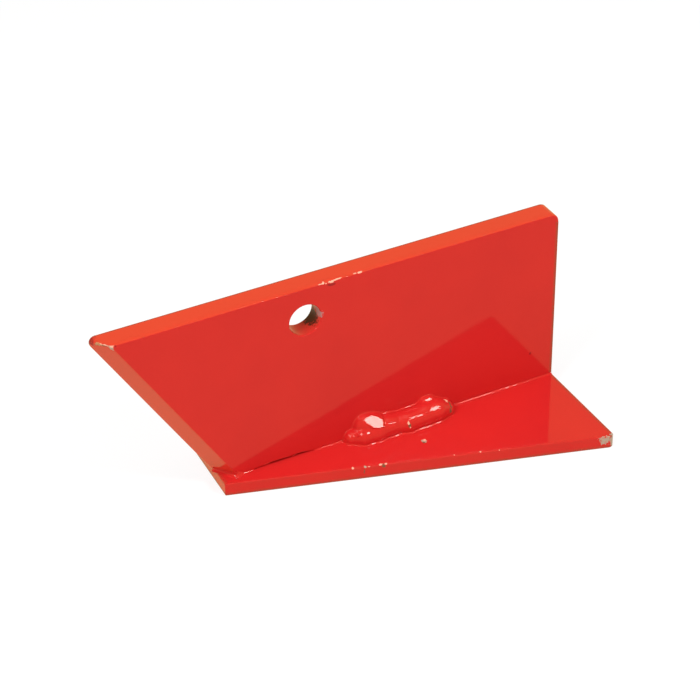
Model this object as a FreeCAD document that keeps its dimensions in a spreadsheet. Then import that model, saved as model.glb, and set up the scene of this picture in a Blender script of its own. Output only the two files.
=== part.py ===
"""Plough share: an upright cutting plate welded across a tapering foot plate.

X runs along the upright plate, from its leaning nose (-X) to its square rear end (+X).
Y runs from the wing side, where the foot widens (-Y), to the back side (+Y). Z is up.
The origin is the bottom centre of the whole share, so that its sole lies on Z = 0.

Every body is drawn in one local frame, whose origin is the joint corner: the rear end of
the line where the upright's wing face stands on the top of the foot.
"""

import FreeCAD, Part
import math
import os

import Sketcher

OUTPUT_FOLDER = "parts"
FULL_TURN = 360
TOUCHING = 1e-4

# Driving dimensions in millimetres, one spreadsheet cell each.
DRIVING = {
    # Upright cutting plate
    "plate_height": 80,
    "plate_thickness": 10,
    "plate_base_length": 148,  # along the wing face, where it stands on the foot
    "nose_lean": 50,  # how far the nose overhangs the front end of that line
    "nose_bevel_run": 7.3,  # how far the back face reaches past the wing face
    "nose_land": 1.5,  # thickness that the bevel leaves at the cutting edge
    "nose_round": 2.6,
    "rear_round": 4,
    "plate_arris": 0.6,
    # Bolt hole through the upright
    "bolt_hole_diameter": 14,
    "bolt_hole_from_rear": 116,
    "bolt_hole_below_top": 15,
    "bolt_hole_break": 1.2,  # deburring chamfer on the back side
    # Foot plate
    "foot_thickness": 6,
    "foot_length": 155,
    "foot_rear_width": 50,  # from the wing face out to the rear wing corner
    "foot_tip_width": 3,  # from the wing face out to the tip
    "foot_back_ledge": 20,  # behind the upright's back face
    "foot_end_sweep": 1.5,  # how far the front end leans back over the foot's width
    "foot_corner_round": 2,
    "foot_arris": 0.6,
    # Weld beads: two overlapping runs on the wing side, one run on the back side
    "weld_from_rear": 45.5,
    "rear_run_length": 30,
    "rear_run_radius": 5.6,
    "rear_run_offset": 2.8,  # from the run's axis to each plate
    "front_run_length": 31,
    "front_run_radius": 6.2,
    "front_run_offset": 2,
    "run_overlap": 6,
    "back_run_length": 55,
    "back_run_radius": 5.4,
    "back_run_offset": 1.8,
}

# Sizes worked out from the driving ones, as spreadsheet formulas.
DERIVED = {
    "nose_edge_length": "sqrt(nose_lean^2 + plate_height^2)",
    "nose_cutback": "nose_round * ((nose_edge_length + nose_lean) / plate_height - 1)",
    "nose_base_length": "plate_base_length + nose_bevel_run",
    "nose_top_length": "nose_base_length + nose_lean",
    "ground_thickness": "plate_thickness - nose_land",
    "bolt_hole_height": "plate_height - bolt_hole_below_top",
    "foot_back_edge": "plate_thickness + foot_back_ledge",
    "foot_back_length": "foot_length - foot_end_sweep",
    "wing_edge_slope": "(foot_rear_width - foot_tip_width) / foot_length",
    "wing_corner_cutback": "foot_corner_round * (wing_edge_slope + sqrt(1 + wing_edge_slope^2) - 1)",
    "joint_corner_x": "(nose_top_length - nose_cutback) / 2",
    "joint_corner_y": "(foot_rear_width - wing_corner_cutback - foot_back_edge) / 2",
    "joint_corner_z": "foot_thickness",
    "rear_run_front": "weld_from_rear + rear_run_length",
    "front_run_rear": "rear_run_front - run_overlap",
    "front_run_front": "front_run_rear + front_run_length",
    "back_run_front": "weld_from_rear + back_run_length",
    "back_run_from_wing": "plate_thickness + back_run_offset",
    "cutter_size": "plate_height + plate_thickness",
}


def make_sheet(doc):
    """Put every size into one spreadsheet, with its name as the cell's alias."""
    sheet = doc.addObject("Spreadsheet::Sheet", "sizes")
    cells = {name: str(value) for name, value in DRIVING.items()}
    cells.update({name: "=" + formula for name, formula in DERIVED.items()})
    for row, (name, content) in enumerate(cells.items(), start=1):
        sheet.set(f"A{row}", name)
        sheet.set(f"B{row}", content)
        sheet.setAlias(f"B{row}", name)
    doc.recompute()
    return sheet


def cell(place):
    """The expression for a place, which is a size's name, that name after a minus, or 0."""
    name = place.lstrip("-")
    if name == "0":
        return name
    return place.replace(name, "sizes." + name)


def number(sheet, place):
    """The value of a place in millimetres."""
    name = place.lstrip("-")
    if name == "0":
        return 0.0
    value = float(getattr(sheet, name))
    return -value if place.startswith("-") else value


def make_body(doc, name):
    """An empty body whose own origin is placed at the joint corner."""
    body = doc.addObject("PartDesign::Body", name)
    body.Label = name
    for axis in "xyz":
        body.setExpression(f"Placement.Base.{axis}", cell(f"joint_corner_{axis}"))
    return body


def make_sketch(body, role, name):
    """A sketch on the origin plane of the body that has this role."""
    sketch = body.newObject("Sketcher::SketchObject", name)
    plane = next(feature for feature in body.Origin.OriginFeatures if feature.Role == role)
    sketch.AttachmentSupport = [(plane, "")]
    sketch.MapMode = "FlatFace"
    return sketch


def bind(sheet, sketch, place, kind, *geometry):
    """Add a dimension to a sketch and bind it to a place."""
    index = sketch.addConstraint(Sketcher.Constraint(kind, *geometry, number(sheet, place)))
    sketch.setExpression(f"Constraints[{index}]", cell(place))


def draw_polygon(sheet, sketch, corners):
    """Draw a closed polygon through corners, each a pair of places, in order."""
    points = [FreeCAD.Vector(number(sheet, across), number(sheet, up), 0) for across, up in corners]
    for start, end in zip(points, points[1:] + points[:1]):
        sketch.addGeometry(Part.LineSegment(start, end), False)
    for line, (across, up) in enumerate(corners):
        following = (line + 1) % len(corners)
        sketch.addConstraint(Sketcher.Constraint("Coincident", line, 2, following, 1))
        bind(sheet, sketch, across, "DistanceX", -1, 1, line, 1)
        bind(sheet, sketch, up, "DistanceY", -1, 1, line, 1)


def draw_circle(sheet, sketch, across, up, diameter):
    """Draw a circle whose centre is given by two places."""
    centre = FreeCAD.Vector(number(sheet, across), number(sheet, up), 0)
    radius = number(sheet, diameter) / 2
    circle = sketch.addGeometry(Part.Circle(centre, FreeCAD.Vector(0, 0, 1), radius), False)
    bind(sheet, sketch, across, "DistanceX", -1, 1, circle, 3)
    bind(sheet, sketch, up, "DistanceY", -1, 1, circle, 3)
    bind(sheet, sketch, diameter, "Diameter", circle)


def draw_run_profile(sheet, sketch, front, rear, radius):
    """Draw the upper half of a round-ended bar that lies along the sketch's X axis."""
    front_x, rear_x, crest_y = (number(sheet, place) for place in (front, rear, radius))
    front_centre = FreeCAD.Vector(front_x + crest_y, 0, 0)
    rear_centre = FreeCAD.Vector(rear_x - crest_y, 0, 0)
    rise = FreeCAD.Vector(0, crest_y, 0)
    upward = FreeCAD.Vector(0, 0, 1)
    base = sketch.addGeometry(
        Part.LineSegment(FreeCAD.Vector(front_x, 0, 0), FreeCAD.Vector(rear_x, 0, 0)), False
    )
    rear_circle = Part.Circle(rear_centre, upward, crest_y)
    rear_end = sketch.addGeometry(Part.ArcOfCircle(rear_circle, 0, math.pi / 2), False)
    crest = sketch.addGeometry(Part.LineSegment(rear_centre + rise, front_centre + rise), False)
    front_circle = Part.Circle(front_centre, upward, crest_y)
    front_end = sketch.addGeometry(Part.ArcOfCircle(front_circle, math.pi / 2, math.pi), False)
    sketch.addConstraint(
        [
            Sketcher.Constraint("Coincident", base, 2, rear_end, 1),
            Sketcher.Constraint("Tangent", rear_end, 2, crest, 1),
            Sketcher.Constraint("Tangent", crest, 2, front_end, 1),
            Sketcher.Constraint("Coincident", front_end, 2, base, 1),
            Sketcher.Constraint("PointOnObject", base, 1, -1),
            Sketcher.Constraint("PointOnObject", base, 2, -1),
            Sketcher.Constraint("PointOnObject", rear_end, 3, -1),
            Sketcher.Constraint("PointOnObject", front_end, 3, -1),
            Sketcher.Constraint("Equal", rear_end, front_end),
        ]
    )
    bind(sheet, sketch, front, "DistanceX", -1, 1, base, 1)
    bind(sheet, sketch, rear, "DistanceX", -1, 1, base, 2)
    bind(sheet, sketch, radius, "Radius", rear_end)


def pad(body, sketch, name, length, reverse):
    """Pad a sketch by a place's length."""
    feature = body.newObject("PartDesign::Pad", name)
    feature.Profile = sketch
    feature.Reversed = reverse
    feature.setExpression("Length", cell(length))
    return feature


def pocket_through(body, sketch, name):
    """Cut a sketch's outline right through the body, both ways from its plane."""
    feature = body.newObject("PartDesign::Pocket", name)
    feature.Profile = sketch
    feature.SideType = "Symmetric"
    feature.Type = "ThroughAll"
    return feature


def near(value, target):
    """Whether two lengths are the same, give or take a rounding error."""
    return abs(value - target) < TOUCHING


def edges_where(feature, test):
    """Names of a feature's edges whose end points, in the body's own frame, all pass a test."""
    names = []
    for index, edge in enumerate(feature.Shape.Edges, start=1):
        if all(test(vertex.Point) for vertex in edge.Vertexes):
            names.append(f"Edge{index}")
    return names


def dress(body, kind, name, edges, size_property, size):
    """Round or chamfer some edges of the body's latest feature."""
    base = body.Tip
    feature = body.newObject(f"PartDesign::{kind}", name)
    feature.Base = (base, edges)
    feature.setExpression(size_property, cell(size))
    body.Document.recompute()
    return feature


def make_upright(doc, sheet):
    """The cutting plate: a leaning, bevelled nose, one bolt hole and a square rear end."""
    body = make_body(doc, "upright_plate")
    side = make_sketch(body, "XZ_Plane", "upright_side_view")
    draw_polygon(
        sheet,
        side,
        [
            ("0", "0"),
            ("0", "plate_height"),
            ("-nose_top_length", "plate_height"),
            ("-nose_base_length", "0"),
        ],
    )
    stock = pad(body, side, "upright_stock", "plate_thickness", reverse=True)
    doc.recompute()

    top = number(sheet, "plate_height")
    nose_x = number(sheet, "-nose_top_length")
    nose_corner = edges_where(stock, lambda point: near(point.x, nose_x))
    nose = dress(body, "Fillet", "nose_rounding", nose_corner, "Radius", "nose_round")
    rear_corner = edges_where(nose, lambda point: near(point.x, 0) and near(point.z, top))
    dress(body, "Fillet", "rear_corner_rounding", rear_corner, "Radius", "rear_round")

    hole_view = make_sketch(body, "XZ_Plane", "bolt_hole_view")
    draw_circle(sheet, hole_view, "-bolt_hole_from_rear", "bolt_hole_height", "bolt_hole_diameter")
    pocket_through(body, hole_view, "bolt_hole")

    bevel = make_nose_bevel(body, sheet)
    doc.recompute()
    back_y = number(sheet, "plate_thickness")
    hole_x = number(sheet, "-bolt_hole_from_rear")
    hole_radius = number(sheet, "bolt_hole_diameter") / 2
    back_rim = edges_where(
        bevel, lambda point: near(point.y, back_y) and near(abs(point.x - hole_x), hole_radius)
    )
    plate = dress(body, "Chamfer", "bolt_hole_deburring", back_rim, "Size", "bolt_hole_break")

    round_start = number(sheet, "-rear_round")
    arrises = []
    for face_y in (0, back_y):
        arrises += edges_where(
            plate,
            lambda point: near(point.y, face_y)
            and (near(point.z, top) or point.x > round_start - TOUCHING and point.z > -TOUCHING),
        )
    dress(body, "Fillet", "upright_arrises", arrises, "Radius", "plate_arris")
    return body


def make_nose_bevel(body, sheet):
    """Grind the wing side of the nose back along its slope, down to a narrow land."""
    plan = make_sketch(body, "XY_Plane", "nose_bevel_plan")
    draw_polygon(
        sheet,
        plan,
        [
            ("-plate_base_length", "0"),
            ("-nose_base_length", "ground_thickness"),
            ("-nose_top_length", "ground_thickness"),
            ("-nose_top_length", "-ground_thickness"),
        ],
    )
    bevel = body.newObject("PartDesign::Pocket", "nose_bevel")
    bevel.Profile = plan
    bevel.UseCustomVector = True
    bevel.AlongSketchNormal = False
    bevel.Direction = FreeCAD.Vector(0, 0, 1)
    bevel.setExpression("Direction.x", "-sizes.nose_lean / sizes.nose_edge_length")
    bevel.setExpression("Direction.z", "sizes.plate_height / sizes.nose_edge_length")
    bevel.setExpression("Length", "2 * sizes.nose_edge_length")
    return bevel


def make_foot(doc, sheet):
    """The sole: a flat plate whose wing edge runs from the tip out to the rear corner."""
    body = make_body(doc, "foot_plate")
    plan = make_sketch(body, "XY_Plane", "foot_plan")
    draw_polygon(
        sheet,
        plan,
        [
            ("0", "-foot_rear_width"),
            ("0", "foot_back_edge"),
            ("-foot_back_length", "foot_back_edge"),
            ("-foot_length", "-foot_tip_width"),
        ],
    )
    stock = pad(body, plan, "foot_stock", "foot_thickness", reverse=True)
    doc.recompute()

    tip_x = number(sheet, "-foot_length")
    corners = [
        name
        for name in edges_where(stock, lambda point: not near(point.x, tip_x))
        if is_upright_edge(stock, name)
    ]
    plate = dress(body, "Fillet", "foot_corner_rounding", corners, "Radius", "foot_corner_round")
    sole_z = number(sheet, "-foot_thickness")
    arrises = []
    for face_z in (0, sole_z):
        arrises += edges_where(plate, lambda point: near(point.z, face_z))
    dress(body, "Fillet", "foot_arrises", arrises, "Radius", "foot_arris")
    return body


def is_upright_edge(feature, name):
    """Whether a feature's edge runs straight up."""
    start, end = (vertex.Point for vertex in feature.Shape.getElement(name).Vertexes)
    return near(start.x, end.x) and near(start.y, end.y)


def add_run(body, sheet, name, front, rear, radius, height, from_wing):
    """Add one round-ended weld run, turned about an axis that lies along the joint."""
    sketch = make_sketch(body, "XZ_Plane", name + "_profile")
    sketch.setExpression("AttachmentOffset.Base.y", cell(height))
    sketch.setExpression("AttachmentOffset.Base.z", cell(from_wing))
    draw_run_profile(sheet, sketch, front, rear, radius)
    run = body.newObject("PartDesign::Revolution", name)
    run.Profile = sketch
    run.ReferenceAxis = (sketch, ["H_Axis"])
    run.Angle = FULL_TURN


def trim_to_joint(body, sheet, face, outward, inward):
    """Cut away what would lie inside the foot or inside the upright's face."""
    section = make_sketch(body, "YZ_Plane", "joint_section")
    draw_polygon(
        sheet,
        section,
        [
            (face, "0"),
            (face, "cutter_size"),
            (inward, "cutter_size"),
            (inward, "-cutter_size"),
            (outward, "-cutter_size"),
            (outward, "0"),
        ],
    )
    pocket_through(body, section, "joint_trim")


def make_wing_weld(doc, sheet):
    """The bead on the wing side, laid as two overlapping runs with a dip between them."""
    body = make_body(doc, "wing_weld")
    add_run(
        body,
        sheet,
        "front_run",
        front="-front_run_front",
        rear="-front_run_rear",
        radius="front_run_radius",
        height="front_run_offset",
        from_wing="front_run_offset",
    )
    add_run(
        body,
        sheet,
        "rear_run",
        front="-rear_run_front",
        rear="-weld_from_rear",
        radius="rear_run_radius",
        height="rear_run_offset",
        from_wing="rear_run_offset",
    )
    trim_to_joint(body, sheet, face="0", outward="-cutter_size", inward="cutter_size")
    return body


def make_back_weld(doc, sheet):
    """The bead on the back side, laid as one plain run."""
    body = make_body(doc, "back_weld")
    add_run(
        body,
        sheet,
        "back_run",
        front="-back_run_front",
        rear="-weld_from_rear",
        radius="back_run_radius",
        height="back_run_offset",
        from_wing="-back_run_from_wing",
    )
    trim_to_joint(
        body, sheet, face="plate_thickness", outward="cutter_size", inward="-cutter_size"
    )
    return body


def check_document(doc, bodies):
    """Stop if any object failed to compute or any body isn't one valid solid."""
    for item in doc.Objects:
        if "Invalid" in item.State or "Error" in item.State:
            raise RuntimeError(f"{item.Label} did not compute: {item.State}")
    for body in bodies:
        if body.Shape.isNull() or not body.Shape.isValid() or len(body.Shape.Solids) != 1:
            raise RuntimeError(f"{body.Label} is not one valid solid")


def main():
    """Build the document and write one STEP file for each body."""
    doc = FreeCAD.newDocument("plough_share")
    sheet = make_sheet(doc)
    bodies = [
        make_upright(doc, sheet),
        make_foot(doc, sheet),
        make_wing_weld(doc, sheet),
        make_back_weld(doc, sheet),
    ]
    doc.recompute()
    check_document(doc, bodies)
    os.makedirs(OUTPUT_FOLDER, exist_ok=True)
    for body in bodies:
        body.Shape.exportStep(f"{OUTPUT_FOLDER}/{body.Label}.step")
        print(body.Label, round(body.Shape.Volume), "mm3")


main()
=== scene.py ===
"""Dressed model of a small welded plough share.

An upright cutting plate stands on a tapering foot plate.  Both are flame-cut and sheared from mild
steel, joined by fillet welds, and sprayed all over with red gloss enamel.  The enamel fills the joint
with a thin concave skin and is chipped at corners and edges.  Its outline edges are browned, partly as
thin paint and partly as painted shade, and some edge faces carry a lighter orange that is partly spray
and partly painted sheen.

Shapes are drawn in millimetres in the joint frame.  Its origin is the joint corner, the rear end of
the line where the upright's wing face stands on the top of the foot.  X runs along the upright with
the nose at -X, Y runs from the wing side to the back side, and Z is up.
"""

import logging
import math
from dataclasses import dataclass
from enum import Enum
from typing import Callable, Iterable, Sequence

import bmesh
import bpy
import numpy as np
from mathutils import Matrix, Vector


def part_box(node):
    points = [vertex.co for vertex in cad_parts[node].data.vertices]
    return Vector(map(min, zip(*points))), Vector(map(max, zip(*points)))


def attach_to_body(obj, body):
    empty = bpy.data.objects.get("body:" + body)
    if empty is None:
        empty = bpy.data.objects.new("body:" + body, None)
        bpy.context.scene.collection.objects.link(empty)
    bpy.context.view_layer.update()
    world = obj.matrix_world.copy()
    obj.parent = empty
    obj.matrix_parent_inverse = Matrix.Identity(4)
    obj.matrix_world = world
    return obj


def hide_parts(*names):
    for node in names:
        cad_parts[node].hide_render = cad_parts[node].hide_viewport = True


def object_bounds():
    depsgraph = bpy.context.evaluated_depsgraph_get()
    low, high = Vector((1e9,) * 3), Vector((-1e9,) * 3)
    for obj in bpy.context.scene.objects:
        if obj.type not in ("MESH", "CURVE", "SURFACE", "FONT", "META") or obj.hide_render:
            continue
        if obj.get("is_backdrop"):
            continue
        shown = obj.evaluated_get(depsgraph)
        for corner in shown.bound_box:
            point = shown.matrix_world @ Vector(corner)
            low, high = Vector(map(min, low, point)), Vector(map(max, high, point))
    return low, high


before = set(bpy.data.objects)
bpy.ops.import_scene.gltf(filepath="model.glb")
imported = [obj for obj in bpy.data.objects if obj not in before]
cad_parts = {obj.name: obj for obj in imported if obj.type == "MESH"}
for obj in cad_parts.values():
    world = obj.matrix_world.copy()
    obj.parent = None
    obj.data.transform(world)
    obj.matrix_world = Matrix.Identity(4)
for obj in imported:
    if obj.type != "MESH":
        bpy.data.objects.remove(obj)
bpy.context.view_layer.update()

LOG = logging.getLogger("plough_share")
MM = 0.001
HALF_SQRT2 = math.sqrt(0.5)
SENSOR_WIDTH = 36.0
BODY = "root"


# --------------------------------------------------------------------------- small helpers


def linear(hex_colour: str) -> tuple[float, float, float, float]:
    """Turn an sRGB hex colour into linear light.

    Args:
        hex_colour: Six hex digits, such as "DD2321".

    Returns:
        Red, green, blue and an opaque alpha.
    """
    parts = [int(hex_colour[i:i + 2], 16) / 255 for i in (0, 2, 4)]
    light = [c / 12.92 if c <= 0.04045 else ((c + 0.055) / 1.055) ** 2.4 for c in parts]
    return light[0], light[1], light[2], 1.0


def add_node(
    tree: bpy.types.NodeTree,
    kind: str,
    settings: dict[str, object] | None = None,
    sockets: dict[str | int, object] | None = None,
) -> bpy.types.Node:
    """Add one shader node with its settings and links.

    Args:
        tree: Node tree that gets the node.
        kind: Type name without the ShaderNode prefix.
        settings: Properties of the node by name.
        sockets: Inputs by name or index; an output socket is linked, anything else is set.

    Returns:
        The new node.
    """
    node = tree.nodes.new("ShaderNode" + kind)
    for name, value in (settings or {}).items():
        setattr(node, name, value)
    for key, value in (sockets or {}).items():
        if isinstance(value, bpy.types.NodeSocket):
            tree.links.new(value, node.inputs[key])
        else:
            node.inputs[key].default_value = value
    return node


@dataclass(frozen=True)
class JointFrame:
    """The joint corner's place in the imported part, in metres."""

    corner: Vector

    @classmethod
    def from_nodes(cls) -> "JointFrame":
        """Read the corner from the boxes of the two packed plates.

        Returns:
            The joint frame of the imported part.
        """
        upright_low, upright_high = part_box("upright_plate")
        foot_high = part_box("foot_plate")[1]
        return cls(Vector((upright_high.x, upright_low.y, foot_high.z)))

    def to_part(self, x: float, y: float, z: float) -> Vector:
        """Turn joint-frame millimetres into the part's metres."""
        return self.corner + Vector((x, y, z)) * MM


def make_piece(
    name: str, mesh: bmesh.types.BMesh, attributes: dict[str, Sequence[float]]
) -> bpy.types.Object:
    """Turn a closed bmesh into a smooth-shaded object of the scene.

    Args:
        name: Object name.
        mesh: Finished bmesh, which is freed.
        attributes: Values per vertex, by attribute name.

    Returns:
        The linked object.
    """
    bmesh.ops.recalc_face_normals(mesh, faces=mesh.faces)
    for face in mesh.faces:
        face.smooth = True
    data = bpy.data.meshes.new(name)
    mesh.to_mesh(data)
    mesh.free()
    for label, values in attributes.items():
        data.attributes.new(label, "FLOAT", "POINT").data.foreach_set("value", list(values))
    piece = bpy.data.objects.new(name, data)
    bpy.context.scene.collection.objects.link(piece)
    return piece


def attach(piece: bpy.types.Object, node: str, finish: bpy.types.Material) -> None:
    """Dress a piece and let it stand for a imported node.

    Args:
        piece: Object to place in the frame.
        node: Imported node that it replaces.
        finish: Material of the whole piece.
    """
    piece.data.materials.append(finish)
    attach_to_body(piece, BODY)
    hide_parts(node)
    LOG.info("%s: %d faces, finish %s", piece.name, len(piece.data.polygons), finish.name)


# --------------------------------------------------------------------------- finishes


class ChipTone(Enum):
    """What shows where the enamel has flaked, and spots of painted shade and highlight, as sRGB colours."""

    PALE_PRIMER = "F2B79A"
    GREY_STEEL = "B89E88"
    TAN_SCALE = "BC8A5E"
    BROWN_RUST = "7E4E34"
    # Darker red: painted shade in the knocked dents of the top edge, and darker spots at the nose tip and low
    # at the rear.
    DARK_ENAMEL_AND_DENT_SHADE = "A31A20"
    BORE_SHADE = "5A0709"
    # A grey steel patch in the bolt hole, which also stands in for the lighter highlight on its wall.
    BORE_GREY_AND_HIGHLIGHT = "B98A84"


@dataclass(frozen=True)
class Chip:
    """One flaked spot, or a spot of painted shade or highlight, as an ellipsoid in the paint film.

    Sizes are half axes.  The turn is about Y for spots on the upright, and about Z for the foot.
    """

    tone: ChipTone
    centre: tuple[float, float, float]
    size: tuple[float, float, float]
    turn_y: float = 0.0
    turn_z: float = 0.0


@dataclass(frozen=True)
class GlossEnamel:
    """Red gloss enamel sprayed over steel, one wet coat.

    The eye gets a deep, even red with a soft mirror on top: the gloss is weak head-on and grows at a
    glance.  Sprayed enamel shrinks to a faint orange peel and pools slightly darker where it is thick.
    Sharp outline edges are browned, partly as thin paint over the dull undercoat and partly as painted
    shade, and some edge faces get a lighter orange, partly spray and partly painted sheen.
    """

    name: str
    colour: str = "D62826"
    pooled_colour: str = "C82124"
    worn_edge_shade_colour: str = "A04632"
    sprayed_sheen_colour: str = "E6482A"
    gloss_tint: str = "FFF2E8"
    ior: float = 1.27
    roughness: tuple[float, float] = (0.045, 0.075)
    peel_size: float = 2.4
    peel_depth: float = 0.0022
    sway_size: float = 26.0
    sway_depth: float = 0.010
    cloud_size: float = 38.0
    mottle_size: float = 1.1
    worn_edge_shade_share: float = 1.0
    haze_size: float = 9.0
    bare_roughness: float = 0.55
    chip_ragging: float = 0.55
    chip_ragging_size: float = 0.9
    chips: tuple[Chip, ...] = ()

    def material(self, joint: JointFrame) -> bpy.types.Material:
        """Build the enamel as a procedural material.

        Args:
            joint: Where the joint frame is, because every pattern is laid out in it.

        Returns:
            The material.
        """
        made = bpy.data.materials.new(self.name)
        made.use_nodes = True
        tree = made.node_tree
        tree.nodes.clear()
        place = add_node(tree, "TexCoord").outputs["Object"]
        place = add_node(tree, "Mapping", {}, {
            "Vector": place,
            "Location": tuple(-c / MM for c in joint.corner),
            "Scale": (1 / MM, 1 / MM, 1 / MM),
        }).outputs[0]
        colour = self._enamel_colour(tree, place)
        colour, bare = self._flaked(tree, place, colour)
        haze = add_node(tree, "TexNoise", {}, {
            "Vector": place, "Scale": 1 / self.haze_size, "Detail": 3.0, "Roughness": 0.6,
        }).outputs["Fac"]
        gloss = add_node(tree, "MapRange", {}, {
            "Value": haze, "From Min": 0.3, "From Max": 0.7,
            "To Min": self.roughness[0], "To Max": self.roughness[1],
        }).outputs[0]
        rough = add_node(tree, "Mix", {"data_type": "FLOAT"}, {
            0: bare, 2: gloss, 3: self.bare_roughness,
        }).outputs[0]
        shader = add_node(tree, "BsdfPrincipled", {}, {
            "Base Color": colour,
            "Roughness": rough,
            "IOR": self.ior,
            "Specular Tint": linear(self.gloss_tint),
            "Normal": self._surface(tree, place, bare),
        })
        add_node(tree, "OutputMaterial", {}, {"Surface": shader.outputs[0]})
        return made

    def _enamel_colour(self, tree: bpy.types.NodeTree, place: bpy.types.NodeSocket) -> bpy.types.NodeSocket:
        """Colour of the sound film: clouds, fine mottle, lighter edge faces (partly spray, partly painted
        sheen) and browned edges (partly thin paint, partly painted shade).

        Args:
            tree: Node tree of the material.
            place: Joint-frame position in millimetres.

        Returns:
            Colour of the unbroken film.
        """
        clouds = add_node(tree, "TexNoise", {}, {
            "Vector": place, "Scale": 1 / self.cloud_size, "Detail": 3.0, "Roughness": 0.5,
        }).outputs["Fac"]
        mottle = add_node(tree, "TexNoise", {}, {
            "Vector": place, "Scale": 1 / self.mottle_size, "Detail": 2.0, "Roughness": 0.6,
        }).outputs["Fac"]
        clouded = add_node(tree, "MapRange", {}, {
            "Value": clouds, "From Min": 0.35, "From Max": 0.75, "To Min": 0.0, "To Max": 0.5,
        }).outputs[0]
        mottled = add_node(tree, "MapRange", {}, {
            "Value": mottle, "From Min": 0.4, "From Max": 0.8, "To Min": 0.0, "To Max": 0.12,
        }).outputs[0]
        pooled = add_node(tree, "Math", {"operation": "ADD", "use_clamp": True}, {
            0: clouded, 1: mottled,
        }).outputs[0]
        colour = add_node(tree, "Mix", {"data_type": "RGBA"}, {
            "Factor": pooled, 6: linear(self.colour), 7: linear(self.pooled_colour),
        }).outputs[2]
        # Lighter orange on the edge faces: partly spray, partly painted sheen.
        sprayed_sheen = add_node(tree, "Attribute", {"attribute_name": "overspray_and_sheen"}).outputs["Fac"]
        colour = add_node(tree, "Mix", {"data_type": "RGBA"}, {
            "Factor": sprayed_sheen, 6: colour, 7: linear(self.sprayed_sheen_colour),
        }).outputs[2]
        # Browned outline edges: partly thin paint over the undercoat, partly painted shade along the outlines.
        edge = add_node(tree, "Attribute", {"attribute_name": "worn_edge_and_shade"}).outputs["Fac"]
        broken = add_node(tree, "MapRange", {}, {
            "Value": mottle, "From Min": 0.3, "From Max": 0.6, "To Min": 0.4 * self.worn_edge_shade_share,
            "To Max": self.worn_edge_shade_share,
        }).outputs[0]
        thin = add_node(tree, "Math", {"operation": "MULTIPLY"}, {0: edge, 1: broken}).outputs[0]
        return add_node(tree, "Mix", {"data_type": "RGBA"}, {
            "Factor": thin, 6: colour, 7: linear(self.worn_edge_shade_colour),
        }).outputs[2]

    def _flaked(
        self, tree: bpy.types.NodeTree, place: bpy.types.NodeSocket, colour: bpy.types.NodeSocket
    ) -> tuple[bpy.types.NodeSocket, bpy.types.NodeSocket]:
        """Lay the chips, and the spots of painted shade and highlight, over the enamel.

        Args:
            tree: Node tree of the material.
            place: Joint-frame position in millimetres.
            colour: Colour of the sound film.

        Returns:
            The colour with its chips, and how bare each point is, from 0 to 1.
        """
        ragged = add_node(tree, "TexNoise", {}, {
            "Vector": place, "Scale": 1 / self.chip_ragging_size, "Detail": 3.0, "Roughness": 0.65,
        }).outputs["Fac"]
        ragged = add_node(tree, "MapRange", {}, {
            "Value": ragged, "From Min": 0.25, "From Max": 0.75,
            "To Min": -self.chip_ragging, "To Max": self.chip_ragging,
        }).outputs[0]
        bare = add_node(tree, "Value").outputs[0]
        bare.default_value = 0.0
        for chip in self.chips:
            local = add_node(tree, "Mapping", {"vector_type": "TEXTURE"}, {
                "Vector": place,
                "Location": chip.centre,
                "Rotation": (0.0, math.radians(chip.turn_y), math.radians(chip.turn_z)),
                "Scale": chip.size,
            }).outputs[0]
            reach = add_node(tree, "VectorMath", {"operation": "LENGTH"}, {0: local}).outputs["Value"]
            reach = add_node(tree, "Math", {"operation": "ADD"}, {0: reach, 1: ragged}).outputs[0]
            inside = add_node(tree, "MapRange", {"interpolation_type": "SMOOTHSTEP"}, {
                "Value": reach, "From Min": 1.12, "From Max": 0.82, "To Min": 0.0, "To Max": 1.0,
            }).outputs[0]
            colour = add_node(tree, "Mix", {"data_type": "RGBA"}, {
                "Factor": inside, 6: colour, 7: linear(chip.tone.value),
            }).outputs[2]
            # The darker red spots and the bore's painted shade keep the gloss; the other spots are bare.
            if chip.tone not in (ChipTone.DARK_ENAMEL_AND_DENT_SHADE, ChipTone.BORE_SHADE):
                bare = add_node(tree, "Math", {"operation": "MAXIMUM"}, {0: bare, 1: inside}).outputs[0]
        return colour, bare

    def _surface(
        self, tree: bpy.types.NodeTree, place: bpy.types.NodeSocket, bare: bpy.types.NodeSocket
    ) -> bpy.types.NodeSocket:
        """Relief: the slow sway of rolled plate, orange peel, and the step down into each chip.

        Args:
            tree: Node tree of the material.
            place: Joint-frame position in millimetres.
            bare: How bare each point is, from 0 to 1.

        Returns:
            The bent normal.
        """
        sway = add_node(tree, "TexNoise", {}, {
            "Vector": place, "Scale": 1 / self.sway_size, "Detail": 1.0,
        }).outputs["Fac"]
        peel = add_node(tree, "TexNoise", {}, {
            "Vector": place, "Scale": 1 / self.peel_size, "Detail": 1.5, "Roughness": 0.45,
        }).outputs["Fac"]
        relief = add_node(tree, "Bump", {}, {
            "Height": sway, "Strength": 1.0, "Distance": self.sway_depth * MM,
        }).outputs[0]
        relief = add_node(tree, "Bump", {}, {
            "Height": peel, "Strength": 1.0, "Distance": self.peel_depth * MM, "Normal": relief,
        }).outputs[0]
        return add_node(tree, "Bump", {"invert": True}, {
            "Height": bare, "Strength": 0.6, "Distance": 0.06 * MM, "Normal": relief,
        }).outputs[0]


# --------------------------------------------------------------------------- plates


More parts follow.
